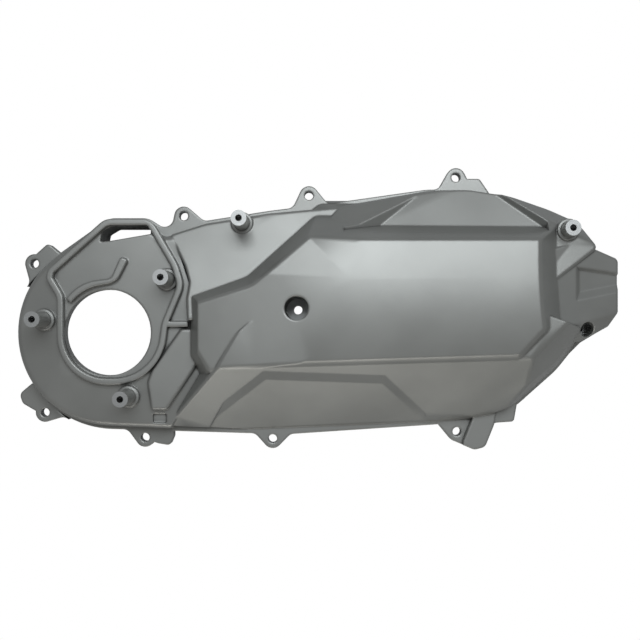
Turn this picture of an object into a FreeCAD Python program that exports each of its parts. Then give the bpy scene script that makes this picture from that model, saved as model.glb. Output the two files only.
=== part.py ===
import FreeCAD, Part
import math
import os

# Left crankcase cover of a scooter with belt drive, one aluminium die casting.
# It lies on its mating face: +Z points out of the engine, +X from the fan end to
# the clutch end, +Y to the top of the engine. All heights here count from the mating
# face. The finished cover is moved down at the end, so that its origin is in the
# mouth of the round cooling-air opening, on the crankshaft axis.

Vector = FreeCAD.Vector

# Longer than the part, for the cutting planes and for bounds that leave nothing out.
REACH = 700.0

# Driving dimensions, in millimetres and degrees.
SIZES = {
    "wall": 3.5,
    "lip": 2.5,
    "fan_lip": 4.0,
    "draft": 2.0,
    "flange_thickness": 8.0,
    "fan_end_radius": 76.0,
    "deck_height": 30.0,
    "deck_end_slope": 7.0,
    "deck_bottom_slope": 6.0,
    "deck_rounding": 5.0,
    "edge_bevel": 1.8,
    "small_bevel": 1.2,
    "opening_radius": 33.0,
    "rib_height": 5.0,
    "rib_width": 4.5,
    "ear_radius": 7.5,
    "ear_hole_radius": 3.4,
    "ear_blend": 7.0,
    "ear_root": 14.0,
    "post_tip_height": 60.0,
    "post_radius": 5.8,
    "post_pad_radius": 8.2,
    "post_pad_height": 2.5,
    "tapped_radius": 2.5,
    "tapped_depth": 18.0,
    "centre_bore_radius": 8.8,
    "centre_bore_floor": 12.0,
    "end_bore_radius": 5.6,
    "end_bore_floor": 14.0,
    "column_wall": 3.5,
    "panel_height": 69.0,
    "panel_edge_drop": 3.0,
    "panel_waist_drop": 13.0,
    "panel_crown_radius": 280.0,
    "panel_crown_middle": 24.0,
    "left_panel_slope": 5.5,
    "corner_panel_slope": 9.0,
    "upper_deck_height": 28.0,
    "upper_deck_slope": 11.0,
    "lower_deck_height": 34.0,
    "skirt_drop": 7.0,
    "lower_face_slope": 43.0,
    "right_face_slope": 52.0,
    "shoulder_height": 45.0,
    "shoulder_face_slope": 40.0,
    "shoulder_end_slope": 59.0,
    "shelf_slope": 8.0,
    "block_edge_height": 48.0,
    "block_slope": 12.0,
    "block_lower_slope": 38.0,
    "side_slope": 71.0,
    "strip_slope": 60.0,
    "end_wall_slope": 50.0,
    "recess_depth": 3.5,
    "recess_wall_slope": 59.0,
    "recess_edge_drop": 12.0,
    "flank_slope": 66.0,
    "flank_height": 20.0,
    "upper_recess_height": 36.0,
    "upper_recess_slope": 18.0,
    "upper_recess_left_slope": 29.6,
    "block_recess_height": 42.0,
    "block_recess_slope": 30.0,
    "collar_height": 9.0,
    "inner_rib_width": 3.0,
    "inner_rib_height": 22.0,
    "pocket_depth": 5.0,
    "scallop_radius": 9.0,
    "lobe_height": 14.0,
}

doc = FreeCAD.newDocument("crankcase_cover")
sheet = doc.addObject("Spreadsheet::Sheet", "sizes")
for row, (alias, value) in enumerate(SIZES.items(), start=1):
    sheet.set("A%d" % row, alias)
    sheet.set("B%d" % row, repr(value))
    sheet.setAlias("B%d" % row, alias)
doc.recompute()


def size(alias):
    """Reads one driving dimension from the sheet."""
    return float(sheet.get(alias))


def heading(degrees):
    """Unit vector in the plan that points the given way, counted from +X to +Y."""
    return Vector(math.cos(math.radians(degrees)), math.sin(math.radians(degrees)), 0)


def fan_corner(first, second):
    """Corner where the tangents of the fan end at two headings meet."""
    radius = size("fan_end_radius")
    away = radius / math.cos(math.radians(second - first) / 2)
    point = heading((first + second) / 2) * away
    return (point.x, point.y, radius)


# Outline of the mating flange without its ears, anticlockwise, as (x, y, radius).
PERIMETER = [
    fan_corner(230, 269),
    (136, -80.5, 150),
    (250, -73, 60),
    (290, -70, 60),
    (318, -57.5, 20),
    (349, -30, 60),
    (365, -10, 10),
    (385, 2, 8),
    (392, 14, 10),
    (392, 58, 8),
    (377, 64, 6),
    (367, 83.5, 14),
    (345, 97, 60),
    (311, 107, 80),
    (276, 113, 60),
    (247, 113, 60),
    (170, 102, 40),
    (123, 96.3, 150),
    (72, 88.5, 10),
    (42, 78.5, 8),
    (27, 90.4, 14),
    (-4, 90.4, 14),
    fan_corner(125, 139),
    fan_corner(139, 180),
    fan_corner(180, 230),
]

# Height of the upper edge of the lower flank, as a formula of the sheet.
SKIRT_HEIGHT = "sizes.panel_height - sizes.skirt_drop"

# Bolt holes of the ears round the flange.
EARS = [
    (-63.1, 54.5),
    (-54.7, -63.2),
    (24.4, -82.9),
    (125.2, -83.9),
    (54.8, 92.1),
    (153.8, 108.2),
    (270.0, 122.5),
]

# Feet of the posts that carry the outer side cover.
POSTS = [
    (-48.6, 9.7),
    (16.0, -49.0),
    (45.6, 40.6),
    (102.8, 84.0),
    (347.9, 76.8),
]

LOBE_BOLT = (270.8, -78.3)
CENTRE_BOLT = (145.3, 17.7)
END_BOLT = (364.4, 2.4)


def side(first, second):
    """Direction of a side and its inward normal, for an anticlockwise outline."""
    along = Vector(second[0] - first[0], second[1] - first[1], 0)
    along.normalize()
    return along, Vector(-along.y, along.x, 0)


def inset(corners, distance):
    """Moves every side of an outline inwards; outer corners tighten, inner ones open."""
    moved = []
    count = len(corners)
    for index in range(count):
        before, here, after = corners[index - 1], corners[index], corners[(index + 1) % count]
        along_in, normal_in = side(before, here)
        along_out, normal_out = side(here, after)
        turn = along_in.x * along_out.y - along_in.y * along_out.x
        bend = 1 + normal_in.dot(normal_out)
        shift = (normal_in + normal_out) * (distance / bend)
        radius = here[2]
        if radius > 0:
            radius = max(radius - math.copysign(distance, turn), 0.5)
        moved.append((here[0] + shift.x, here[1] + shift.y, radius))
    return moved


def lengths_to(corners):
    """Distance along the outline from its first corner to each corner."""
    total = 0.0
    reached = [0.0]
    for first, second in zip(corners, corners[1:] + corners[:1]):
        total += math.hypot(second[0] - first[0], second[1] - first[1])
        reached.append(total)
    return reached


def point_at(corners, reached, distance):
    """Point of the outline at a distance from its first corner."""
    distance = distance % reached[-1]
    for index, start in enumerate(reached[:-1]):
        if start <= distance < reached[index + 1]:
            first, second = corners[index], corners[(index + 1) % len(corners)]
            share = (distance - start) / (reached[index + 1] - start)
            return Vector(first[0], first[1], 0) * (1 - share) + Vector(second[0], second[1], 0) * share
    raise ValueError(distance)


def foot_of(corners, reached, hole):
    """Distance along the outline to the point nearest a bolt hole."""
    nearest = None
    for index, start in enumerate(reached[:-1]):
        along, normal = side(corners[index], corners[(index + 1) % len(corners)])
        offset = Vector(hole[0] - corners[index][0], hole[1] - corners[index][1], 0)
        run = offset.dot(along)
        gap = abs(offset.dot(normal))
        if 0 < run < reached[index + 1] - start and (nearest is None or gap < nearest[0]):
            nearest = (gap, start + run)
    return nearest[1]


def tangent(root, centre, radius, turn):
    """Direction of the line from a root that touches the boss, on the side given by turn."""
    away = centre - root
    lean = math.asin(radius / away.Length) * turn
    return Vector(
        away.x * math.cos(lean) - away.y * math.sin(lean),
        away.x * math.sin(lean) + away.y * math.cos(lean),
        0,
    ).normalize()


def ear(corners, reached, hole):
    """Distances of the two roots of an ear and its three corners."""
    foot = foot_of(corners, reached, hole)
    root = size("ear_root")
    centre = Vector(hole[0], hole[1], 0)
    before = point_at(corners, reached, foot - root)
    after = point_at(corners, reached, foot + root)
    rising = tangent(before, centre, size("ear_radius"), -1)
    falling = tangent(after, centre, size("ear_radius"), 1)
    across = after - before
    share = (across.x * falling.y - across.y * falling.x) / (rising.x * falling.y - rising.y * falling.x)
    tip = before + rising * share
    blend = size("ear_blend")
    return foot, [(before.x, before.y, blend), (tip.x, tip.y, size("ear_radius")), (after.x, after.y, blend)]


def with_ears(corners, holes):
    """Outline with an ear round each bolt hole; a corner in the way of an ear gives way to it."""
    reached = lengths_to(corners)
    clear = size("ear_root") + size("ear_blend")
    ears = [ear(corners, reached, hole) for hole in holes]
    pieces = [(foot, grown) for foot, grown in ears]
    for index, start in enumerate(reached[:-1]):
        gaps = [abs((start - foot + reached[-1] / 2) % reached[-1] - reached[-1] / 2) for foot, _ in ears]
        if min(gaps) > clear:
            pieces.append((start, [corners[index]]))
    outline = []
    for _, grown in sorted(pieces):
        outline.extend(grown)
    return outline


def plane_of(body, role):
    """Origin plane of a body, found by its role."""
    for feature in body.Origin.OriginFeatures:
        if feature.Role == role:
            return feature
    raise ValueError(role)


def new_body(name):
    """Empty body with a label of its own."""
    body = doc.addObject("PartDesign::Body", name)
    body.Label = name
    return body


def new_sketch(body, name, role="XY_Plane"):
    """Sketch on one of the body's origin planes."""
    sketch = body.newObject("Sketcher::SketchObject", name)
    sketch.AttachmentSupport = [(plane_of(body, role), "")]
    sketch.MapMode = "FlatFace"
    return sketch


def draw(sketch, corners):
    """Closed outline of straight sides, with a tangent arc at each corner that has a radius."""
    count = len(corners)
    ends = []
    arcs = []
    for index in range(count):
        before, here, after = corners[index - 1], corners[index], corners[(index + 1) % count]
        corner = Vector(here[0], here[1], 0)
        back = (Vector(before[0], before[1], 0) - corner).normalize()
        ahead = (Vector(after[0], after[1], 0) - corner).normalize()
        half = back.getAngle(ahead) / 2
        if here[2] <= 0 or half > math.radians(89.8):
            ends.append((corner, corner))
            arcs.append(None)
            continue
        reach = here[2] / math.tan(half)
        middle = (back + ahead).normalize()
        centre = corner + middle * (here[2] / math.sin(half))
        ends.append((corner + back * reach, corner + ahead * reach))
        arcs.append(centre - middle * here[2])
    for index in range(count):
        if arcs[index] is not None:
            sketch.addGeometry(Part.Arc(ends[index][0], arcs[index], ends[index][1]), False)
        start = ends[index][1]
        finish = ends[(index + 1) % count][0]
        if (finish - start).Length > 0.01:
            sketch.addGeometry(Part.LineSegment(start, finish), False)


def pad(body, name, outlines, height, start="0", taper=None):
    """Pad of closed outlines, from a start height, both heights given by formulas."""
    sketch = new_sketch(body, name + "_outline")
    sketch.setExpression("AttachmentOffset.Base.z", start)
    for corners in outlines:
        draw(sketch, corners)
    feature = body.newObject("PartDesign::Pad", name)
    feature.Profile = sketch
    feature.setExpression("Length", "%s - (%s)" % (height, start))
    if taper is not None:
        feature.setExpression("TaperAngle", taper)
    doc.recompute()
    return feature


def trim(body, name, point, facing, slope, height, above=True):
    """Cuts a body with a sloping plane and removes what lies above it, or below it.

    The plane passes over the point at the given height and falls towards the heading
    that it faces. Slope and height are formulas of the sheet.
    """
    sketch = new_sketch(body, name + "_plane")
    level = heading(facing)
    hinge = Vector(-level.y, level.x, 0)
    place = FreeCAD.Placement(Vector(point[0], point[1], 0), FreeCAD.Rotation(hinge, 1))
    sketch.AttachmentOffset = place
    sketch.setExpression("AttachmentOffset.Rotation.Angle", slope)
    sketch.setExpression("AttachmentOffset.Base.z", height)
    span = REACH / 2
    draw(sketch, [(-span, -span, 0), (span, -span, 0), (span, span, 0), (-span, span, 0)])
    feature = body.newObject("PartDesign::Pocket", name)
    feature.Profile = sketch
    feature.Length = REACH
    feature.Reversed = above
    doc.recompute()
    return feature


def under(height, slope, inner):
    """Height formula of a plane, lowered by the wall where it bounds the hollow inside."""
    if not inner:
        return height
    return "%s - sizes.wall / cos(%s)" % (height, slope)


def bounded(name, corners, top, planes, inner, taper="-sizes.draft"):
    """Block with drafted sides under a set of sloping planes.

    The inner copy of the block is smaller by one wall all round.
    """
    body = new_body(name)
    outline = inset(corners, size("wall")) if inner else corners
    pad(body, name + "_pad", [outline], under(top, "0", inner), taper=taper)
    for index, (point, facing, slope, height) in enumerate(planes):
        trim(body, "%s_face_%d" % (name, index), point, facing, slope, under(height, slope, inner))
    return body


def turn_at(shape, edge):
    """Angle in degrees between the two faces that meet at an edge."""
    faces = shape.ancestorsOfType(edge, Part.Face)
    if len(faces) != 2:
        return 0.0
    middle = edge.valueAt((edge.FirstParameter + edge.LastParameter) / 2)
    first, second = [face.normalAt(*face.Surface.parameter(middle)) for face in faces]
    return math.degrees(first.getAngle(second))


def soften(body, kind, amount, turn, lowest, least_y, greatest_x):
    """Rounds or bevels the edges of a form that turn by more than an angle.

    They also reach above a height, below a Y and left of an X.
    """
    tip = body.Tip
    names = []
    for index, edge in enumerate(tip.Shape.Edges, start=1):
        box = edge.BoundBox
        near = box.ZMax > lowest and box.YMin < least_y and box.XMin < greatest_x
        if near and turn_at(tip.Shape, edge) > turn:
            names.append("Edge%d" % index)
    feature = body.newObject("PartDesign::" + kind, body.Name + "_softening")
    feature.Base = (tip, names)
    feature.setExpression("Radius" if kind == "Fillet" else "Size", amount)
    doc.recompute()


def fan_housing(inner):
    """Low housing at the fan end; its deck falls a little to the end and to the bottom."""
    margin = size("fan_lip") - size("lip")
    edge = inset(HOUSING, margin)
    outline = edge[:1] + [(47, -75, 0), (78, -30, 0), (76, 8, 0), (66, 30, 0), (56, 60, 0), (50, 76, 0)]
    outline += edge[19:]
    planes = [
        ((-37, 0), 180, "sizes.deck_end_slope", "sizes.deck_height"),
        ((0, -34), -90, "sizes.deck_bottom_slope", "sizes.deck_height"),
    ]
    name = "fan_hollow" if inner else "fan_housing"
    return bounded(name, outline, "sizes.deck_height", planes, inner)


def upper_deck(inner):
    """Sloping panel between the fan end and the raised panel."""
    outline = [
        (61, 8, 0),
        (100, 8, 0),
        (150, 40, 0),
        (185, 85, 0),
        (178, 97.5, 0),
        (123, 92.5, 0),
        (74, 84.5, 0),
        (46, 75.5, 0),
        (58.5, 50, 10),
        (62, 38, 10),
        (60, 26, 0),
    ]
    planes = [((140.3, 91.8), 98, "sizes.upper_deck_slope", "sizes.upper_deck_height")]
    name = "upper_deck_hollow" if inner else "upper_deck"
    return bounded(name, outline, "sizes.panel_height", planes, inner)


def lower_deck(inner):
    """Low panel between the opening and the raised panel."""
    outline = [
        (33, -60, 0),
        (46, -60, 0),
        (66.5, -30, 0),
        (76, -12, 0),
        (76, 4, 0),
        (56, 4, 0),
        (48.5, -6.5, 0),
        (33.5, -28, 0),
        (29.7, -38, 0),
    ]
    name = "lower_deck_hollow" if inner else "lower_deck"
    return bounded(name, outline, "sizes.lower_deck_height", [], inner)


def crown(body, inner):
    """Rounds the top of the raised panel to an arc across it."""
    radius = size("panel_crown_radius") - (size("wall") if inner else 0)
    middle = size("panel_crown_middle")
    centre = size("panel_height") - size("panel_crown_radius")
    half_width = 90.0
    rise = centre + math.sqrt(radius ** 2 - half_width ** 2)
    left = Vector(middle - half_width, rise, 0)
    right = Vector(middle + half_width, rise, 0)
    above = Vector(0, size("panel_height"), 0)
    sketch = new_sketch(body, "crown_profile", "YZ_Plane")
    sketch.addGeometry(Part.Arc(left, Vector(middle, centre + radius, 0), right), False)
    sketch.addGeometry(Part.LineSegment(right, right + above), False)
    sketch.addGeometry(Part.LineSegment(right + above, left + above), False)
    sketch.addGeometry(Part.LineSegment(left + above, left), False)
    feature = body.newObject("PartDesign::Pocket", "crown")
    feature.Profile = sketch
    feature.Length = 2 * REACH
    feature.Midplane = True
    doc.recompute()
    return feature


def main_panel(inner):
    """Raised panel over the belt and the clutch, crowned from top to bottom."""
    waist = [
        (71.9, -15.6, 0),
        (86.3, -40, 0),
        (352, -40, 0),
        (352, 86, 0),
        (169.2, 86, 0),
        (110.8, 36.3, 0),
        (71.9, 22.9, 0),
    ]
    waist_height = size("panel_height") - size("panel_waist_drop")
    spread = waist_height / math.tan(math.radians(size("side_slope")))
    strip = "sizes.strip_slope"
    edge_height = "sizes.panel_height - sizes.panel_edge_drop"
    planes = [
        ((176.9, 40), 180, "sizes.left_panel_slope", "sizes.panel_height - 1"),
        ((176.9, 40.3), 125, "sizes.corner_panel_slope", "sizes.panel_height - 1"),
        ((200, 68.2), 90, strip, edge_height),
        ((326.5, 10), 3.9, "sizes.end_wall_slope", edge_height),
        ((317, -7.9), -45, strip, edge_height),
        ((200, -20.5), -88.3, strip, edge_height),
    ]
    name = "panel_hollow" if inner else "main_panel"
    draft = "-(90 - sizes.side_slope)"
    body = bounded(name, inset(waist, -spread), "sizes.panel_height", planes, inner, draft)
    crown(body, inner)
    return body


def skirt(inner):
    """Lower flank between the raised panel and the flange."""
    outline = [(45, -73, 0)] + HOUSING[1:7] + [(358, 5, 0), (300, 25, 0), (110, 10, 0), (72, -24, 0)]
    planes = [
        ((150, -24), -88.3, "sizes.lower_face_slope", SKIRT_HEIGHT),
        ((325, -12), -45, "sizes.right_face_slope", SKIRT_HEIGHT),
        ((48, -71), 150.3, "sizes.side_slope", "sizes.deck_height"),
        ((150, -69), -87.7, "sizes.flank_slope", "sizes.flank_height"),
        ((285.4, -63.1), -81, "sizes.flank_slope", "sizes.flank_height"),
        ((330.2, -40), -48.4, "sizes.side_slope", "sizes.flank_height"),
        ((353.1, -16.9), -38.7, "sizes.side_slope", "sizes.flank_height"),
    ]
    name = "skirt_hollow" if inner else "skirt"
    return bounded(name, outline, SKIRT_HEIGHT, planes, inner)


def shoulder(inner):
    """Upper flank between the raised panel and the flange."""
    outline = [(372, 62, 0)] + HOUSING[11:16] + [
        (178, 98, 0), (163, 80, 0), (200, 40, 0), (330, 30, 0)]
    planes = [
        ((177.7, 97.5), 98, "sizes.shoulder_face_slope", "sizes.upper_deck_height"),
        ((342.5, 79.3), 65, "sizes.shoulder_end_slope", "sizes.shoulder_height"),
        ((342.5, 79.3), 65, "sizes.shelf_slope", "sizes.shoulder_height"),
    ]
    name = "shoulder_hollow" if inner else "shoulder"
    return bounded(name, outline, "sizes.shoulder_height + 5", planes, inner)


def end_block(inner):
    """Block at the clutch end, lower than the raised panel."""
    outline = [(362, -8, 0)] + HOUSING[7:11] + [(355, 70, 0), (320, 60, 0), (320, -8, 0)]
    planes = [
        ((341.5, 30), 0, "sizes.block_slope", "sizes.block_edge_height"),
        ((362.2, 14.7), -60, "sizes.block_lower_slope", "sizes.block_edge_height"),
    ]
    name = "block_hollow" if inner else "end_block"
    return bounded(name, outline, "sizes.panel_height", planes, inner)


FORMS = [fan_housing, upper_deck, lower_deck, main_panel, skirt, shoulder, end_block]

# How the edges of each form are softened: fillet or bevel, its size, the least turn in
# degrees, and the height above which, the Y below which and the X left of which.
ANYWHERE = REACH
SOFTENINGS = [
    ("Fillet", "sizes.deck_rounding", 20, size("deck_height") / 2, ANYWHERE, 30),
    ("Chamfer", "sizes.small_bevel", 20, size("upper_deck_height") * 0.7, ANYWHERE, ANYWHERE),
    ("Chamfer", "sizes.small_bevel", 20, size("lower_deck_height") - 1, ANYWHERE, ANYWHERE),
    ("Chamfer", "sizes.edge_bevel", 20, size("panel_height") - 11, ANYWHERE, ANYWHERE),
    ("Chamfer", "sizes.edge_bevel", 30, size("panel_height") - 27, -10, ANYWHERE),
    ("Chamfer", "sizes.edge_bevel", 20, size("shoulder_height") - 20, ANYWHERE, ANYWHERE),
    ("Chamfer", "sizes.small_bevel", 20, size("block_edge_height") * 0.6, ANYWHERE, ANYWHERE),
]

HOUSING = inset(PERIMETER, size("lip"))

# Outer outline of the seal rib that runs round the opening and the inlet slot.
SEAL_LOOP = [
    (41, -39.5, 40),
    (46.5, 6, 20),
    (59, 36, 18),
    (54, 52, 30),
    (34, 86.4, 13),
    (-1, 86.4, 13),
    (-44.5, 48, 8),
    (-46, 41, 5),
    (-37.5, 27, 10),
    (-37.5, -39.5, 37.5),
]

# Baffle rib: along the upper left of the opening and then up into the loop.
BAFFLE = [
    (-27.2, 22.8, 0),
    (-18, 33.8, 35.5),
    (3, 37.5, 8),
    (8.5, 40.5, 8),
    (16.2, 55.5, 2),
    (10.8, 57.5, 2),
    (3.5, 41, 5),
    (-4.2, 39.8, 0),
    (-20.2, 38.1, 32),
    (-30.6, 25.7, 0),
]

TIE_RIB = [(45, 4.5, 0), (62, 4.5, 0), (62, 8.5, 0), (45, 8.5, 0)]

# Inlet slot for the cooling air, beside the top of the loop.
SLOT = [
    (-6, 69.5, 1),
    (1.7, 70.1, 0),
    (33, 75.5, 1),
    (32, 82, 3),
    (3, 82, 5),
    (-4.5, 77.5, 3),
]

# Lobe below the clutch end, with one bolt hole, and the raised part of it.
LOBE = [
    (252, -64, 0),
    (256.5, -73, 4),
    (266.5, -85, 6),
    (283.5, -92, 6),
    (292, -89.8, 6),
    (299.5, -71.5, 5),
    (315.8, -70.4, 3),
    (318.5, -55, 0),
]
LOBE_PAD = [
    (284, -60, 0),
    (281.7, -69, 3),
    (275.3, -85, 0),
    (275, -88.4, 0),
    (283.5, -92, 6),
    (292, -89.8, 6),
    (299, -72.5, 5),
    (301, -60, 0),
]

# Tabs of the flange beside three of the ears.
TABS = [
    [(272, 106, 0), (299, 104, 0), (295.5, 111.5, 4), (288.6, 121.5, 3), (272, 121.5, 0)],
    [(-62, 52, 0), (-48, 50, 0), (-41.5, 61.5, 0), (-52.5, 70.5, 3), (-63, 61, 0)],
    [(-60, -38, 0), (-65.5, -40.5, 0), (-75, -48.5, 5), (-72.5, -56, 5), (-60.5, -63, 0), (-50, -52, 0)],
    [(28, -74, 0), (30, -86, 0), (34.5, -87.6, 0), (44, -89.2, 3), (47, -82, 0), (47, -74, 0)],
]

# Passage inside, from the fan end to the belt space.
LINK = [(40, -56, 0), (74, -56, 0), (76, 60, 0), (72, 76, 0), (50, 70, 0), (40, 62, 0)]

# Small pocket in the deck below the low panel.
FOOT_POCKET = [(34, -69.5, 1), (44.5, -69.5, 1), (44.5, -62.5, 1), (34, -62.5, 1)]


def fuse(name, members):
    """One solid from several that overlap."""
    joined = doc.addObject("Part::MultiFuse", name)
    joined.Shapes = members
    joined.Refine = True
    doc.recompute()
    return joined


def cut(name, base, tool):
    """First solid without the second."""
    result = doc.addObject("Part::Cut", name)
    result.Base = base
    result.Tool = tool
    result.Refine = True
    doc.recompute()
    return result


def plate(name, outlines, height, start="0"):
    """Body of one pad."""
    body = new_body(name)
    pad(body, name + "_pad", outlines, height, start)
    return body


def turned(name, place, profile):
    """Body turned about an upright axis, from its profile of radius and height."""
    body = new_body(name)
    sketch = new_sketch(body, name + "_profile", "XZ_Plane")
    for first, second in zip(profile, profile[1:] + profile[:1]):
        sketch.addGeometry(Part.LineSegment(Vector(*first, 0), Vector(*second, 0)), False)
    feature = body.newObject("PartDesign::Revolution", name + "_turn")
    feature.Profile = sketch
    feature.ReferenceAxis = (sketch, ["V_Axis"])
    feature.Angle = 360
    body.Placement = FreeCAD.Placement(Vector(place[0], place[1], 0), FreeCAD.Rotation())
    doc.recompute()
    return body


def post(index, place, foot):
    """Cast post on a wide round foot; its tapped hole is cut later."""
    shaft, base = size("post_radius"), size("post_pad_radius")
    step = foot + size("post_pad_height")
    top = size("post_tip_height")
    profile = [
        (0, foot - size("wall")),
        (base, foot - size("wall")),
        (base, step),
        (shaft, step),
        (shaft, top),
        (0, top),
    ]
    return turned("post_%d" % index, place, profile)


def round_bar(name, place, radius, height, start="-1"):
    """Upright cylinder at a place, its radius and heights given by formulas."""
    bar = doc.addObject("Part::Cylinder", name)
    bar.setExpression("Radius", radius)
    bar.setExpression("Height", "%s - (%s)" % (height, start))
    bar.Placement = FreeCAD.Placement(Vector(place[0], place[1], 0), FreeCAD.Rotation())
    bar.setExpression("Placement.Base.z", start)
    return bar


def recess(name, corners, planes, grown):
    """Cutter that takes away what lies above all its planes, inside an outline.

    The grown copy is larger by one wall and keeps metal under the recess.
    """
    body = new_body(name)
    outline = inset(corners, -size("wall")) if grown else corners
    pad(body, name + "_pad", [outline], "2 * sizes.panel_height")
    for index, (point, facing, slope, height) in enumerate(planes):
        lowered = under(height, slope, grown)
        trim(body, "%s_face_%d" % (name, index), point, facing, slope, lowered, above=False)
    return body


def lower_recess(grown):
    """Sunk field in the lower flank, open towards the flange."""
    outline = [(60, -100, 0), (260, -100, 0), (225, -20, 0), (110, -20, 0)]
    wall_slope = "sizes.recess_wall_slope"
    edge_height = "sizes.panel_height - sizes.recess_edge_drop"
    depth = SKIRT_HEIGHT + " - sizes.recess_depth / cos(sizes.lower_face_slope)"
    planes = [
        ((150, -24), -88.3, "sizes.lower_face_slope", depth),
        ((165, -29.4), -90, wall_slope, edge_height),
        ((119.8, -29.8), -71.6, wall_slope, edge_height),
        ((209.5, -28.9), -109.4, wall_slope, edge_height),
    ]
    return recess("lower_recess_wall" if grown else "lower_recess", outline, planes, grown)


def upper_recess(grown):
    """Sunk field in the upper flank, open towards the flange."""
    outline = [(180, 60, 0), (330, 60, 0), (340, 130, 0), (180, 130, 0)]
    floor_height = "sizes.upper_recess_height"
    planes = [
        ((210, 80), 95, "sizes.upper_recess_slope", floor_height),
        ((208.8, 84), -32, "sizes.upper_recess_left_slope", floor_height),
        ((314, 94), 222, "sizes.end_wall_slope", floor_height),
        ((200, 80.9), 90, "sizes.side_slope", floor_height),
    ]
    return recess("upper_recess_wall" if grown else "upper_recess", outline, planes, grown)


def block_recess(grown):
    """Pocket in the top of the end block, open at the end."""
    outline = [(350, 10, 0), (400, 10, 0), (400, 60, 0), (350, 60, 0)]
    edge_height = "sizes.block_recess_height"
    planes = [
        ((341.5, 30), 0, "sizes.block_slope", "sizes.block_edge_height - sizes.recess_depth"),
        ((370, 47.5), -90, "sizes.strip_slope", edge_height),
        ((357, 40), 0, "sizes.end_wall_slope", edge_height),
        ((371, 26.5), 80, "sizes.block_recess_slope", edge_height),
    ]
    return recess("block_recess_wall" if grown else "block_recess", outline, planes, grown)


def inner_rib(name, start, finish):
    """Stiffening web under the roof of the raised panel, from one point to another."""
    along, normal = side(start, finish)
    half = normal * (size("inner_rib_width") / 2)
    first, second = Vector(start[0], start[1], 0), Vector(finish[0], finish[1], 0)
    corners = [first - half, second - half, second + half, first + half]
    outline = [(corner.x, corner.y, 0) for corner in corners]
    return plate(name, [outline], "sizes.panel_height", "sizes.panel_height - sizes.inner_rib_height")


flange = new_body("flange")
pad(flange, "flange_pad", [with_ears(PERIMETER, EARS)], "sizes.flange_thickness")

raised = [form(False) for form in FORMS]
for body, softening in zip(raised, SOFTENINGS):
    soften(body, *softening)
    if not body.Shape.isValid() or "Invalid" in body.Tip.State:
        raise RuntimeError("%s did not take its softening" % body.Name)

posts = []
post_feet = [size("deck_height")] * 3 + [size("upper_deck_height"), size("shoulder_height")]
for index, (place, foot) in enumerate(zip(POSTS, post_feet), start=1):
    posts.append(post(index, place, foot))

rib_top = "sizes.deck_height + sizes.rib_height"
rib_foot = "sizes.deck_height - sizes.rib_height / 2"
seal_rib = plate("seal_rib", [SEAL_LOOP, inset(SEAL_LOOP, size("rib_width"))], rib_top, rib_foot)
baffle = plate("baffle_rib", [BAFFLE], rib_top, rib_foot)
tie_rib = plate("tie_rib", [TIE_RIB], rib_top, rib_foot)
lobe = plate("lobe", [LOBE], "sizes.flange_thickness")
lobe_pad = plate("lobe_pad", [LOBE_PAD], "sizes.lobe_height")
tabs = [
    plate("tab_%d" % index, [outline], "sizes.flange_thickness")
    for index, outline in enumerate(TABS, start=1)
]

pocket_floor = "sizes.deck_height - sizes.pocket_depth"
foot_pocket = plate("foot_pocket", [FOOT_POCKET], "sizes.panel_height", pocket_floor)
scallop = round_bar(
    "scallop", EARS[3], "sizes.scallop_radius", "sizes.panel_height", "sizes.flange_thickness")
sunk = [lower_recess(False), upper_recess(False), block_recess(False), foot_pocket, scallop]
housing = cut("housing", fuse("raised_forms", raised), fuse("recesses", sunk))
solid = fuse("solid_form", [flange, housing, seal_rib, baffle, tie_rib, lobe, lobe_pad] + posts + tabs)

link = plate("link_hollow", [LINK], "sizes.deck_height - 2 * sizes.wall", "-1")
hollow = fuse("hollow_form", [form(True) for form in FORMS] + [link])
centre_column = round_bar(
    "centre_column", CENTRE_BOLT, "sizes.centre_bore_radius + sizes.column_wall", "sizes.panel_height")
end_column = round_bar(
    "end_column", END_BOLT, "sizes.end_bore_radius + sizes.column_wall", "sizes.panel_height")
collar = round_bar(
    "collar", (0, 0), "sizes.opening_radius + sizes.wall", "sizes.deck_height",
    "sizes.deck_height - sizes.collar_height")
duct = plate("duct", [inset(SLOT, -size("wall"))], "sizes.deck_height", "-1")
pocket_wall = plate(
    "foot_pocket_wall", [inset(FOOT_POCKET, -size("wall"))], "sizes.deck_height",
    pocket_floor + " - sizes.wall")
webs = [
    inner_rib("web_1", (60, 17.7), (145, 17.7)),
    inner_rib("web_2", (145.3, 17.7), (145.3, 90)),
    inner_rib("web_3", (145.3, 17.7), (145.3, -50)),
    inner_rib("web_4", (200, -50), (200, 90)),
    inner_rib("web_5", (250, -50), (250, 90)),
    inner_rib("web_6", (300, -50), (300, 90)),
]
keepers = fuse("kept_metal", [
    centre_column, end_column, collar, duct, pocket_wall,
    lower_recess(True), upper_recess(True), block_recess(True)] + webs)
cavity = cut("cavity", hollow, keepers)
shell = cut("shell", solid, cavity)

bores = [round_bar("opening", (0, 0), "sizes.opening_radius", "sizes.panel_height")]
bores.append(plate("slot", [SLOT], "sizes.panel_height", "-1"))
for index, place in enumerate(EARS + [LOBE_BOLT, CENTRE_BOLT, END_BOLT], start=1):
    bores.append(round_bar("bolt_hole_%d" % index, place, "sizes.ear_hole_radius", "sizes.panel_height"))
for index, place in enumerate(POSTS, start=1):
    bores.append(round_bar(
        "tapped_hole_%d" % index, place, "sizes.tapped_radius", "sizes.post_tip_height + 1",
        "sizes.post_tip_height - sizes.tapped_depth"))
bores.append(round_bar(
    "centre_bore", CENTRE_BOLT, "sizes.centre_bore_radius", "sizes.panel_height", "sizes.centre_bore_floor"))
bores.append(round_bar(
    "end_bore", END_BOLT, "sizes.end_bore_radius", "sizes.panel_height", "sizes.end_bore_floor"))
cover = cut("crankcase_cover", shell, fuse("bores", bores))
cover.Label = "crankcase_cover"
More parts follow.
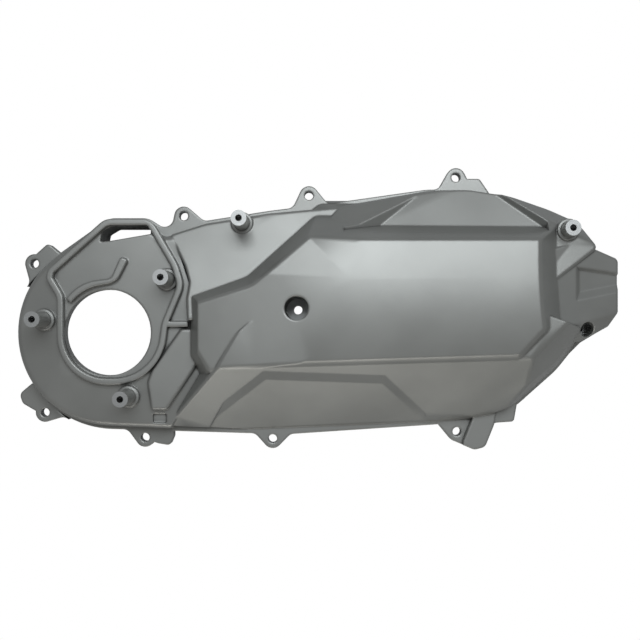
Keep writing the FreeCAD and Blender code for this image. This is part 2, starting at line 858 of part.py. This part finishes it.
cover.setExpression("Placement.Base.z", "-sizes.deck_height")
doc.recompute()

for item in doc.Objects:
    if "Invalid" in item.State or "Error" in item.State:
        raise RuntimeError("%s: %s" % (item.Name, item.State))
    shape = getattr(item, "Shape", None)
    if shape is not None and item.TypeId != "Sketcher::SketchObject" and item.isDerivedFrom("Part::Feature"):
        if shape.isNull() or not shape.isValid():
            raise RuntimeError("%s has no valid shape" % item.Name)
if len(cover.Shape.Solids) != 1:
    raise RuntimeError("the cover is not one solid")

os.makedirs("parts", exist_ok=True)
cover.Shape.exportStep("parts/crankcase_cover.step")
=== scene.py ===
# %% [markdown]
# Left crankcase cover of a belt-drive scooter
#
# The part is one aluminium die casting, sprayed silver-grey on the outside and bare inside.
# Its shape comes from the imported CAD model, so this file adds what a mould, a spray gun and
# a milling cutter leave behind: the skin of the paint, the rougher bare metal, the paler
# milled faces and the turns of the threads.

import math

import bpy
import numpy as np
from mathutils import Matrix


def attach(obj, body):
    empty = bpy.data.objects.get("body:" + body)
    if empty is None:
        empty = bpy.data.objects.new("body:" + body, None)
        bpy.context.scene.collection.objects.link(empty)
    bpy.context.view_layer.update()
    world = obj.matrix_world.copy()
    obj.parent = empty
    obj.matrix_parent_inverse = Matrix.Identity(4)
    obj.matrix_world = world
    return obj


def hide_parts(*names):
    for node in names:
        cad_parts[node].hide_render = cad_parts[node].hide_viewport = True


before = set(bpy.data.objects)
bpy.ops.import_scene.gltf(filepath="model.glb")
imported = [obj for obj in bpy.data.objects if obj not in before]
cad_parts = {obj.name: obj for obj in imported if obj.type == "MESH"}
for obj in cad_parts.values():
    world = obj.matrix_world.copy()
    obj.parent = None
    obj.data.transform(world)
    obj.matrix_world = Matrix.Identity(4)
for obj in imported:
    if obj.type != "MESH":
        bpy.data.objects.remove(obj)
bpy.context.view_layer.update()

# %% [markdown]
# Blender hands over a whole column of a mesh at once, such as all its points, and numpy then
# works on the column without a loop. Everything is in metres, so sizes of the cover are
# written as millimetres times MM.

# %% Units and columns
MM = 0.001


def column(items, name, width=1, kind=np.float32):
    """One property of all items of a mesh, with a row for each item."""
    found = np.empty(len(items) * width, kind)
    items.foreach_get(name, found)
    return found.reshape(-1, width) if width > 1 else found


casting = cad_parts["crankcase_cover"].data
print("packed triangles", len(casting.polygons))

# %% [markdown]
# The steel die leaves flat facets with softly broken edges, and light runs smoothly over
# them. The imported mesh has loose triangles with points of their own, which would look like
# cut glass. A Weld modifier could join them. Rounding their places and keeping one point for
# each does it in a few lines of numpy, and shows what joining means.
#
# Edges that turn by more than 32 degrees stay crisp, as they are on the casting.

# %% Joined mesh
JOIN_WITHIN = 0.002 * MM
SHARP_TURN = math.radians(32)


def joined(mesh):
    """Points and triangles of a mesh of loose triangles, with shared corners.

    Each coordinate is divided by the joining step and rounded, points with the same whole
    numbers become one, and a triangle that loses a corner that way is left out.
    """
    corners = column(mesh.vertices, "co", 3)
    loops = column(mesh.loops, "vertex_index", kind=np.int32)
    steps = np.round(corners / JOIN_WITHIN).astype(np.int64)
    _, first, inverse = np.unique(steps, axis=0, return_index=True, return_inverse=True)
    triangles = inverse.reshape(-1)[loops].reshape(-1, 3)
    one, two, three = triangles.T
    whole = (one != two) & (two != three) & (one != three)
    return corners[first], triangles[whole]


points, triangles = joined(casting)
skin = bpy.data.meshes.new("cover_skin")
skin.from_pydata(points.tolist(), [], triangles.tolist())
skin.polygons.foreach_set("use_smooth", np.ones(len(skin.polygons), bool))
skin.set_sharp_from_angle(angle=SHARP_TURN)
print("points", len(skin.vertices), "triangles", len(skin.polygons))

# %% [markdown]
# On the real cover the foot of the raised panel ends at the flange wall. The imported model
# has a thin spike there that stands out past the wall. The mesh could be cut and closed
# again. Sliding the few points of the spike back to the plane of the wall gives nearly the
# same picture and leaves every other point where it is.

# %% Points of the spike
WALL_POINT = np.array((346.3, 99.1)) * MM
WALL_FACES = np.array((0.523, 0.852))
SPIKE_FROM = (346.0 * MM, 84.0 * MM)
WALL_THICKNESS = 3.5 * MM
PAST_WALL = 0.01 * MM


def trim_corner(mesh):
    """Slides what sticks out past the flange at the upper right corner back to its wall.

    In the plan the wall is a straight line. How far a point is past it is the dot product of
    its way from a point of the wall with the direction that the wall faces. The point goes
    back by that distance, and a point of the hollow by one wall more.
    """
    places = column(mesh.vertices, "co", 3)
    hollow = column(mesh.vertices, "normal", 3)[:, :2] @ WALL_FACES < 0
    past = (places[:, :2] - WALL_POINT) @ WALL_FACES
    moved = (past > PAST_WALL) & (places[:, 0] > SPIKE_FROM[0]) & (places[:, 1] > SPIKE_FROM[1])
    back = past + np.where(hollow, WALL_THICKNESS, 0.0)
    places[moved, :2] -= back[moved, None] * WALL_FACES
    mesh.vertices.foreach_set("co", places.reshape(-1))
    mesh.update()
    return int(moved.sum())


print("points slid back", trim_corner(skin))

# %% [markdown]
# The walls of the sunk fields lean only a little more than the flank round them. Smooth
# shading would blend such a fold away, though it shows clearly on the real cover. A lower
# limit for every edge would also crease the roundings, which are chains of narrow strips. So
# an edge that turns by more than 11 degrees stays crisp only between two faces that are
# broad and belong to the roof.

# %% Crisp folds
CRISP_TURN = math.radians(11)
BROAD_FACE = 2.6 * MM
ROOF_LEAN = 0.5


def crisp_folds(mesh):
    """Marks the fold between two broad faces of the roof as crisp where they hardly turn.

    Each triangle has three corners, and each corner starts an edge. Sorting the corners by
    edge puts the two of an edge side by side, and the number of a corner divided by three
    is that of its triangle. The turn is the angle whose cosine is the dot product of the two
    normals. A triangle is broad over an edge where twice its area divided by the length of
    the edge is more than the limit, and belongs to the roof where the part of its normal
    along Z is large.
    """
    edge_of_corner = column(mesh.loops, "edge_index", kind=np.int32)
    uses = np.bincount(edge_of_corner, minlength=len(mesh.edges))
    start = np.cumsum(uses) - uses
    order = np.argsort(edge_of_corner, kind="stable")
    paired = uses == 2
    first = order[start[paired]] // 3
    second = order[start[paired] + 1] // 3
    normals = column(mesh.polygons, "normal", 3)
    areas = column(mesh.polygons, "area")
    ends = column(mesh.vertices, "co", 3)[column(mesh.edges, "vertices", 2, np.int32)]
    length = np.linalg.norm(ends[:, 0] - ends[:, 1], axis=1)[paired]
    turn = np.arccos(np.clip((normals[first] * normals[second]).sum(axis=1), -1, 1))
    broad = 2 * np.minimum(areas[first], areas[second]) > BROAD_FACE * length
    roof = np.minimum(np.abs(normals[first, 2]), np.abs(normals[second, 2])) > ROOF_LEAN
    sharp = np.zeros(len(mesh.edges), bool)
    marks = mesh.attributes["sharp_edge"].data
    marks.foreach_get("value", sharp)
    sharp[paired] |= broad & roof & (turn > CRISP_TURN)
    marks.foreach_set("value", sharp)
    return int(sharp.sum())


print("crisp edges", crisp_folds(skin), "of", len(skin.edges))

# %% [markdown]
# A smooth mesh shades each point with the mean of the faces round it, which bends the light
# on a flat facet beside a rounding. The facets could be cut free of their roundings. The
# Weighted Normal modifier keeps the mesh whole and lets the largest face decide, so facets
# look flat and only the strips between them look round.

# %% The cover that is seen
cover = bpy.data.objects.new("cover_skin", skin)
bpy.context.scene.collection.objects.link(cover)
even = cover.modifiers.new("flat_faces_stay_flat", "WEIGHTED_NORMAL")
even.mode = "FACE_AREA_WITH_ANGLE"
even.weight = 50
even.keep_sharp = True
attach(cover, "root")
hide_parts("crankcase_cover")
print("replaced crankcase_cover by", cover.name)

# %% [markdown]
# The casting is milled where it has to be true: the mating face, the tips of the posts and
# the seats at the bottom of the two deep screw holes. The screw holes are drilled, and the
# posts are drilled and tapped. These places are known as axes in the plan and as heights
# above the mating face.

# %% Axes and heights of the machined places
MATING_FACE = -30.0 * MM
POST_AXES = np.array([
    (-48.6, 9.7), (16.0, -49.0), (45.6, 40.6), (102.8, 84.0), (347.9, 76.8)]) * MM
POST_TIP = MATING_FACE + 60.0 * MM
TIP_REACH = 7.0 * MM
TAPPED_DEPTH = 18.0 * MM
TAPPED_RADIUS = 2.6 * MM
TAPPED_MARGIN = 1.0 * MM
SCREW_AXES = np.array([
    (-63.1, 54.5), (-54.7, -63.2), (24.4, -82.9), (125.2, -83.9), (270.8, -78.3),
    (54.8, 92.1), (153.8, 108.2), (270.0, 122.5), (145.3, 17.7), (364.4, 2.4)]) * MM
SCREW_RADIUS = 3.5 * MM
DEEP_AXES = SCREW_AXES[-2:]
SEAT_HEIGHTS = (MATING_FACE + 12.0 * MM, MATING_FACE + 14.0 * MM)
SEAT_REACH = 9.0 * MM


def nearest_axis(places, axes):
    """Distance in the plan from each place to the nearest of the axes."""
    gaps = places[:, None, :2] - axes[None, :, :]
    return np.sqrt((gaps ** 2).sum(axis=2)).min(axis=1)


print("posts", len(POST_AXES), "screw holes", len(SCREW_AXES), "of them deep", len(DEEP_AXES))

# %% [markdown]
# The gun sprays what it sees from outside, and the hollow side stays bare. Each triangle
# could get its finish by hand. A rule that looks at its place and at the way it faces does
# it for any mesh of this cover.
#
# The way it faces tells outside from inside: the outer form rises to the roof, so its faces
# look up, and those of the hollow look down. Walls that stand upright count as outside. That
# is right for the flange and the posts, but it also gives the paint to the upright columns,
# webs and walls of the hollow, which are bare on the real cover.

# %% Finish of each triangle
PAINT, BARE, MILLED, TAPPED = range(4)
LOOKS_DOWN = -0.012
LIES_FLAT = 0.99
STANDS_UPRIGHT = 0.2
LEVEL_WITHIN = 0.1 * MM


def finish_of(mesh):
    """Finish number of each triangle, from its centre and the part of its normal along Z.

    That part is 1 where a triangle looks straight up and -1 where it looks straight down.
    Each rule overrules the ones before it.
    """
    centres = column(mesh.polygons, "center", 3)
    height = centres[:, 2]
    up = column(mesh.polygons, "normal", 3)[:, 2]
    post_gap = nearest_axis(centres, POST_AXES)
    screw_gap = nearest_axis(centres, SCREW_AXES)
    seat_gap = nearest_axis(centres, DEEP_AXES)
    finish = np.full(len(mesh.polygons), PAINT, np.int32)
    finish[up < LOOKS_DOWN] = BARE
    finish[(up < -LIES_FLAT) & (height < MATING_FACE + LEVEL_WITHIN)] = MILLED
    tip = (up > LIES_FLAT) & (np.abs(height - POST_TIP) < LEVEL_WITHIN) & (post_gap < TIP_REACH)
    finish[tip] = MILLED
    for seat in SEAT_HEIGHTS:
        level = (up > LIES_FLAT) & (np.abs(height - seat) < LEVEL_WITHIN)
        finish[level & (seat_gap < SEAT_REACH)] = MILLED
    finish[(screw_gap < SCREW_RADIUS) & (np.abs(up) < STANDS_UPRIGHT)] = MILLED
    in_bore = (post_gap < TAPPED_RADIUS) & (height > POST_TIP - TAPPED_DEPTH - TAPPED_MARGIN)
    finish[in_bore & ~tip] = TAPPED
    return finish


finishes = finish_of(skin)
skin.polygons.foreach_set("material_index", finishes)
print("triangles by finish", np.bincount(finishes, minlength=4).tolist())

# %% [markdown]
# A finish is a network of nodes. One function adds a node, sets its values and links its
# inputs, so that each finish below reads as a list of what it is made of. Colours are
# written in sRGB, as on a colour chart, and Blender wants them linear. Patterns lie on the
# Object coordinates, which are metres on the cover, so the scale of a noise is one divided
# by the width of its features. Most of a noise lies between 0.3 and 0.7. A Mix node that is
# set to colours takes them at its inputs 6 and 7 and gives their blend at its output 2.

# %% Colours and nodes
NOISE_SPAN = {"From Min": 0.3, "From Max": 0.7}
MIX_FIRST, MIX_SECOND, MIX_RESULT = 6, 7, 2


def linear(colour):
    """Linear red, green, blue and alpha of an sRGB colour written as #RRGGBB.

    A part up to 0.04045 is divided by 12.92. A larger one gets 0.055 added, is divided by
    1.055 and is raised to the power 2.4.
    """
    parts = [int(colour[place:place + 2], 16) / 255 for place in (1, 3, 5)]
    return [
        part / 12.92 if part <= 0.04045 else ((part + 0.055) / 1.055) ** 2.4
        for part in parts] + [1.0]


def empty_tree(owner):
    """Node tree of a material or a world, with no node in it."""
    owner.use_nodes = True
    owner.node_tree.nodes.clear()
    return owner.node_tree


def add(tree, kind, inputs=None, **settings):
    """Adds a node; inputs are values, or sockets of other nodes to link from."""
    node = tree.nodes.new(kind)
    for name, value in settings.items():
        setattr(node, name, value)
    for name, value in (inputs or {}).items():
        if isinstance(value, bpy.types.NodeSocket):
            tree.links.new(value, node.inputs[name])
        else:
            node.inputs[name].default_value = value
    return node


print("mid grey #808080 is linear", round(linear("#808080")[0], 3))

# %% [markdown]
# The paint is aluminium flake in a clear binder, so it behaves half as a metal and half as a
# dull coat. Its film has a faint orange-peel swell, about two pixels of the picture wide,
# and a fine grit that shows in close views only. Every few centimetres it turns a little
# paler or darker. The film softens every edge, which the Bevel node does without triangles.
#
# Inner corners are darker in the photograph, because shade falls there. That shade is painted
# into the colour. It could be painted on by hand. The Ambient Occlusion node finds what lies
# within 3 mm of an inner corner, and a dark grey goes there as painted shade.

# %% Paint on the outside
PAINT_COLOURS = ("#8F908D", "#989996")
# Dark grey of the painted shade in inner corners.
CORNER_SHADE_COLOUR = "#454543"
CORNER_REACH = 3.0 * MM
CLOUD_WIDTH = 60.0 * MM
SWELL_WIDTH = 1.6 * MM
SWELL_DEPTH = 0.03 * MM
GRIT_WIDTH = 0.35 * MM
GRIT_DEPTH = 0.008 * MM
PAINT_EDGE = 2.3 * MM


def silver_grey_paint():
    """Cloudy silver-grey with painted shade in inner corners, over soft edges with swell and
    grit.
    """
    material = bpy.data.materials.new("silver_grey_paint_on_die_casting")
    tree = empty_tree(material)
    place = add(tree, "ShaderNodeTexCoord").outputs["Object"]
    cloud = add(tree, "ShaderNodeTexNoise", {
        "Vector": place, "Scale": 1 / CLOUD_WIDTH, "Detail": 3.0})
    swell = add(tree, "ShaderNodeTexNoise", {
        "Vector": place, "Scale": 1 / SWELL_WIDTH, "Detail": 1.0})
    grit = add(tree, "ShaderNodeTexNoise", {
        "Vector": place, "Scale": 1 / GRIT_WIDTH, "Detail": 2.0})
    tone = add(tree, "ShaderNodeMapRange", {
        "Value": cloud.outputs["Fac"], "From Min": 0.35, "From Max": 0.65})
    colour = add(tree, "ShaderNodeMix", {
        "Factor": tone.outputs["Result"], MIX_FIRST: linear(PAINT_COLOURS[0]),
        MIX_SECOND: linear(PAINT_COLOURS[1])}, data_type="RGBA")
    # Painted shade: the colour turns dark grey within 3 mm of inner corners, where shade falls.
    occlusion = add(tree, "ShaderNodeAmbientOcclusion", {"Distance": CORNER_REACH}, samples=8)
    clear = add(tree, "ShaderNodeMapRange", {
        "Value": occlusion.outputs["AO"], "From Min": 0.35, "From Max": 0.85})
    colour_with_painted_shade = add(tree, "ShaderNodeMix", {
        "Factor": clear.outputs["Result"], MIX_FIRST: linear(CORNER_SHADE_COLOUR),
        MIX_SECOND: colour.outputs[MIX_RESULT]}, data_type="RGBA")
    gloss = add(tree, "ShaderNodeMapRange", {
        "Value": grit.outputs["Fac"], **NOISE_SPAN, "To Min": 0.36, "To Max": 0.44})
    soft = add(tree, "ShaderNodeBevel", {"Radius": PAINT_EDGE}, samples=10)
    peel = add(tree, "ShaderNodeBump", {
        "Strength": 0.6, "Distance": SWELL_DEPTH, "Height": swell.outputs["Fac"],
        "Normal": soft.outputs["Normal"]})
    fine = add(tree, "ShaderNodeBump", {
        "Strength": 0.5, "Distance": GRIT_DEPTH, "Height": grit.outputs["Fac"],
        "Normal": peel.outputs["Normal"]})
    shader = add(tree, "ShaderNodeBsdfPrincipled", {
        "Base Color": colour_with_painted_shade.outputs[MIX_RESULT], "Metallic": 0.55,
        "Roughness": gloss.outputs["Result"], "Normal": fine.outputs["Normal"]})
    add(tree, "ShaderNodeOutputMaterial", {"Surface": shader.outputs["BSDF"]})
    return material


skin.materials.append(silver_grey_paint())
print("finish", PAINT, skin.materials[PAINT].name)

# %% [markdown]
# Where no paint goes, the skin of the casting shows: plain metal, rougher than a machined
# face, with cloudy marks a centimetre or so wide where the melt met cold steel. One noise
# drives both their tone and their gloss, because on the real skin the two change together.

# %% Bare skin of the hollow side
BARE_COLOURS = ("#A3A4A2", "#B9BAB8")
BLOTCH_WIDTH = 14.0 * MM
GRAIN_WIDTH = 0.5 * MM
GRAIN_DEPTH = 0.03 * MM
BARE_EDGE = 1.2 * MM


def bare_die_casting():
    """Blotchy bare metal with a rough grain and softened edges."""
    material = bpy.data.materials.new("bare_die_cast_aluminium")
    tree = empty_tree(material)
    place = add(tree, "ShaderNodeTexCoord").outputs["Object"]
    blotch = add(tree, "ShaderNodeTexNoise", {
        "Vector": place, "Scale": 1 / BLOTCH_WIDTH, "Detail": 4.0})
    grain = add(tree, "ShaderNodeTexNoise", {
        "Vector": place, "Scale": 1 / GRAIN_WIDTH, "Detail": 3.0})
    tone = add(tree, "ShaderNodeMapRange", {"Value": blotch.outputs["Fac"], **NOISE_SPAN})
    colour = add(tree, "ShaderNodeMix", {
        "Factor": tone.outputs["Result"], MIX_FIRST: linear(BARE_COLOURS[0]),
        MIX_SECOND: linear(BARE_COLOURS[1])}, data_type="RGBA")
    dull = add(tree, "ShaderNodeMapRange", {
        "Value": blotch.outputs["Fac"], **NOISE_SPAN, "To Min": 0.46, "To Max": 0.6})
    soft = add(tree, "ShaderNodeBevel", {"Radius": BARE_EDGE}, samples=6)
    rough = add(tree, "ShaderNodeBump", {
        "Strength": 0.6, "Distance": GRAIN_DEPTH, "Height": grain.outputs["Fac"],
        "Normal": soft.outputs["Normal"]})
    shader = add(tree, "ShaderNodeBsdfPrincipled", {
        "Base Color": colour.outputs[MIX_RESULT], "Metallic": 1.0,
        "Roughness": dull.outputs["Result"], "Normal": rough.outputs["Normal"]})
    add(tree, "ShaderNodeOutputMaterial", {"Surface": shader.outputs["BSDF"]})
    return material


skin.materials.append(bare_die_casting())
print("finish", BARE, skin.materials[BARE].name)

# %% [markdown]
# The cutter leaves fine marks a quarter of a millimetre wide that spread the light across
# them, so the face looks pale and a little silky. The real marks are arcs. In this picture
# they are finer than a pixel, so straight ones do, drawn by a noise that is stretched 25
# times along the cover.

# %% Milled faces
MILLED_COLOUR = "#ABACAB"
MARK_WIDTH = 0.25 * MM
MARK_SQUEEZE = (0.04, 1.0, 1.0)
MARK_DEPTH = 0.004 * MM


def milled_aluminium():
    """Plain metal with parallel marks in gloss and relief."""
    material = bpy.data.materials.new("milled_aluminium")
    tree = empty_tree(material)
    place = add(tree, "ShaderNodeTexCoord").outputs["Object"]
    along = add(tree, "ShaderNodeMapping", {"Vector": place, "Scale": MARK_SQUEEZE})
    marks = add(tree, "ShaderNodeTexNoise", {
        "Vector": along.outputs["Vector"], "Scale": 1 / MARK_WIDTH, "Detail": 2.0})
    gloss = add(tree, "ShaderNodeMapRange", {
        "Value": marks.outputs["Fac"], **NOISE_SPAN, "To Min": 0.38, "To Max": 0.5})
    cut = add(tree, "ShaderNodeBump", {
        "Strength": 0.5, "Distance": MARK_DEPTH, "Height": marks.outputs["Fac"]})
    shader = add(tree, "ShaderNodeBsdfPrincipled", {
        "Base Color": linear(MILLED_COLOUR), "Metallic": 1.0,
        "Roughness": gloss.outputs["Result"], "Normal": cut.outputs["Normal"]})
    add(tree, "ShaderNodeOutputMaterial", {"Surface": shader.outputs["BSDF"]})
    return material


skin.materials.append(milled_aluminium())
print("finish", MILLED, skin.materials[MILLED].name)

# %% [markdown]
# A tapped M6 hole has turns 1 mm apart, which catch the light as fine rings. They could be
# cut as a helix. In a hole 5 mm wide the climb of a turn can't be seen, so straight rings in
# the shading are enough. The Wave node multiplies a place by its scale and by 20 and starts
# anew every 2 pi, so its scale is 2 pi divided by 20 times the pitch.

# %% Thread in the posts
THREAD_COLOUR = "#8F908F"
PITCH = 1.0 * MM
TURN_DEPTH = 0.5 * MM
WAVE_FACTOR = 20.0


def tapped_aluminium():
    """Plain metal with a ring of relief for each turn of the thread."""
    material = bpy.data.materials.new("tapped_aluminium_thread")
    tree = empty_tree(material)
    place = add(tree, "ShaderNodeTexCoord").outputs["Object"]
    turns = add(tree, "ShaderNodeTexWave", {
        "Vector": place, "Scale": 2 * math.pi / (WAVE_FACTOR * PITCH), "Distortion": 0.0},
        wave_type="BANDS", bands_direction="Z", wave_profile="TRI")
    ridges = add(tree, "ShaderNodeBump", {
        "Strength": 1.0, "Distance": TURN_DEPTH, "Height": turns.outputs["Fac"]})
    shader = add(tree, "ShaderNodeBsdfPrincipled", {
        "Base Color": linear(THREAD_COLOUR), "Metallic": 1.0, "Roughness": 0.35,
        "Normal": ridges.outputs["Normal"]})
    add(tree, "ShaderNodeOutputMaterial", {"Surface": shader.outputs["BSDF"]})
    return material


skin.materials.append(tapped_aluminium())
print("finish", TAPPED, skin.materials[TAPPED].name)

# %% [markdown]
# The cover lies on its mating face on a pale floor, as it would on a bench. A catalogue
# picture is cut out on white, which could be done afterwards. Here the Light Path node shows
# plain white to the camera alone, while the casting sees a grey floor and a dim grey room.

# %% Floor and surroundings
BENCH_HALF = 1.5
BENCH_COLOUR = "#B8B8B8"
ROOM_LIGHT = 0.22
WHITE = (1, 1, 1, 1)


def white_to_camera(tree, seen_by_light, seen_by_camera):
    """Blend that shows rays straight from the camera one shader and all others another."""
    path = add(tree, "ShaderNodeLightPath")
    blend = add(tree, "ShaderNodeMixShader", {
        "Fac": path.outputs["Is Camera Ray"], 1: seen_by_light, 2: seen_by_camera})
    return blend.outputs["Shader"]


def floor():
    """Pale matt board under the part, level with the mating face."""
    corners = [
        (x, y, MATING_FACE) for x, y in (
            (-BENCH_HALF, -BENCH_HALF), (BENCH_HALF, -BENCH_HALF),
            (BENCH_HALF, BENCH_HALF), (-BENCH_HALF, BENCH_HALF))]
    mesh = bpy.data.meshes.new("bench")
    mesh.from_pydata(corners, [], [(0, 1, 2, 3)])
    board = bpy.data.objects.new("bench", mesh)
    bpy.context.scene.collection.objects.link(board)
    material = bpy.data.materials.new("pale_matt_board")
    tree = empty_tree(material)
    matt = add(tree, "ShaderNodeBsdfDiffuse", {"Color": linear(BENCH_COLOUR)})
    white = add(tree, "ShaderNodeEmission", {"Color": WHITE, "Strength": 1.0})
    seen = white_to_camera(tree, matt.outputs["BSDF"], white.outputs["Emission"])
    add(tree, "ShaderNodeOutputMaterial", {"Surface": seen})
    mesh.materials.append(material)
    return board


def surroundings():
    """Even dim grey light from all round."""
    world = bpy.data.worlds.new("studio")
    bpy.context.scene.world = world
    tree = empty_tree(world)
    room = add(tree, "ShaderNodeBackground", {"Color": WHITE, "Strength": ROOM_LIGHT})
    white = add(tree, "ShaderNodeBackground", {"Color": WHITE, "Strength": 1.0})
    seen = white_to_camera(tree, room.outputs["Background"], white.outputs["Background"])
    add(tree, "ShaderNodeOutputWorld", {"Surface": seen})
    return world


print("stage", floor().name, "in", surroundings().name)

# %% [markdown]
# In the photograph the faces that lean ten degrees or so towards the top of the engine are
# the brightest, and those that face the clutch end are the darkest. A lamp could be a point
# or a sun, but only a wide soft box gives a satin paint its broad, even shine. The key box
# hangs overhead, past the top edge, and a weaker box low on the lower side lifts the shadows.

# %% Soft boxes
TARGET = np.array((0.158, 0.018, 0.0))


def soft_box(name, towards, distance, width, depth, watts, colour):
    """Rectangular area light that shines at the middle of the part.

    Its own Z axis points from the part to the box. Its X axis is the cross product of the
    frame's Y axis with that, and its Y axis is the cross product of the two.
    """
    back = np.array(towards, float)
    back /= np.linalg.norm(back)
    side = np.cross((0.0, 1.0, 0.0), back)
    side /= np.linalg.norm(side)
    rise = np.cross(back, side)
    matrix = np.eye(4)
    matrix[:3, :3] = np.column_stack((side, rise, back))
    matrix[:3, 3] = TARGET + back * distance
    light = bpy.data.lights.new(name, "AREA")
    light.shape = "RECTANGLE"
    light.size = width
    light.size_y = depth
    light.energy = watts
    light.color = linear(colour)[:3]
    lamp = bpy.data.objects.new(name, light)
    lamp.matrix_world = Matrix(matrix.tolist())
    bpy.context.scene.collection.objects.link(lamp)
    return lamp


key = soft_box(
    "key_box", towards=(0.1, 0.42, 1.0), distance=1.5, width=1.05, depth=0.75,
    watts=13.0, colour="#F6FBFF")
fill = soft_box(
    "fill_box", towards=(-0.05, -1.5, 0.5), distance=1.4, width=1.2, depth=0.4,
    watts=4.5, colour="#FFFCF6")
print("lamps", key.name, fill.name)

# %% [markdown]
# The photograph looks straight down on the cover from about 0.7 m. The posts lean away from
# a point in the panel, which puts the camera over that point, and how far they lean for
# their height gives the distance. Turning the camera would tilt the picture, so it looks
# straight down, and a shift of the lens puts that point where it is in the photograph.

# %% Camera over the raised panel
SENSOR = 36.0
FOCAL_PIXELS = 875.0
PICTURE_PIXELS = 640.0
EYE = (0.161, 0.0004, 0.670)
MIDDLE_PIXEL = (318.0, 332.0)

lens = bpy.data.cameras.new("catalogue_camera")
lens.sensor_width = SENSOR
lens.lens = SENSOR * FOCAL_PIXELS / PICTURE_PIXELS
lens.shift_x = (PICTURE_PIXELS / 2 - MIDDLE_PIXEL[0]) / PICTURE_PIXELS
lens.shift_y = (MIDDLE_PIXEL[1] - PICTURE_PIXELS / 2) / PICTURE_PIXELS
lens.clip_start = 0.01
camera = bpy.data.objects.new("catalogue_camera", lens)
camera.location = EYE
bpy.context.scene.collection.objects.link(camera)
bpy.context.scene.camera = camera
bpy.context.scene.view_settings.view_transform = "Standard"
print("focal length", round(lens.lens, 2), "mm")
